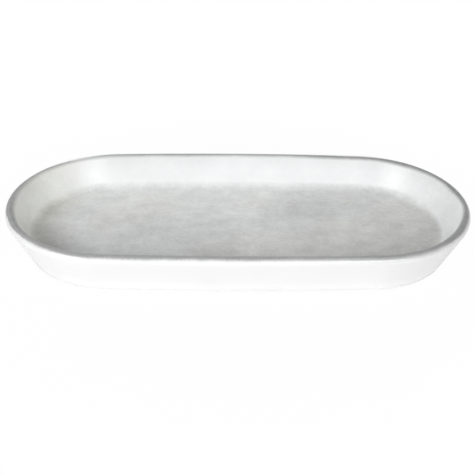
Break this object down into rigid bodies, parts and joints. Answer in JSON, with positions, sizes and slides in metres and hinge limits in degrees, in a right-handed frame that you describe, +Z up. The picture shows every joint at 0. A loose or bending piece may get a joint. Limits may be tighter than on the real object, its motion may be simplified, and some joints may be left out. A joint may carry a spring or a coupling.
{
  "type": "oval serving plate",
  "caption": "Long oval serving plate in glazed stoneware: round ends, flared wall, flat grey well, darker round lip, white outside and a bare foot ring to stand on.",
  "frame": {"origin": "centre of the plate on the surface that it stands on", "axes": "+X along the plate's length, +Y across it, +Z up out of the well"},
  "size_m": [0.3, 0.14, 0.0315],
  "materials": {
    "bare_clay": "fired stoneware, unglazed, dry and finely grained",
    "grey_glaze": "satin reactive glaze, cloudy pale grey",
    "dark_glaze": "satin glaze, dark grey, broken and speckled at its edges",
    "white_glaze": "glossy white glaze"
  },
  "bodies": {
    "root": {"clay_body": "bare_clay", "well_glaze": "grey_glaze", "rim_glaze": "dark_glaze", "outside_glaze": "white_glaze", "underside_glaze": "white_glaze"}
  },
  "joints": []
}
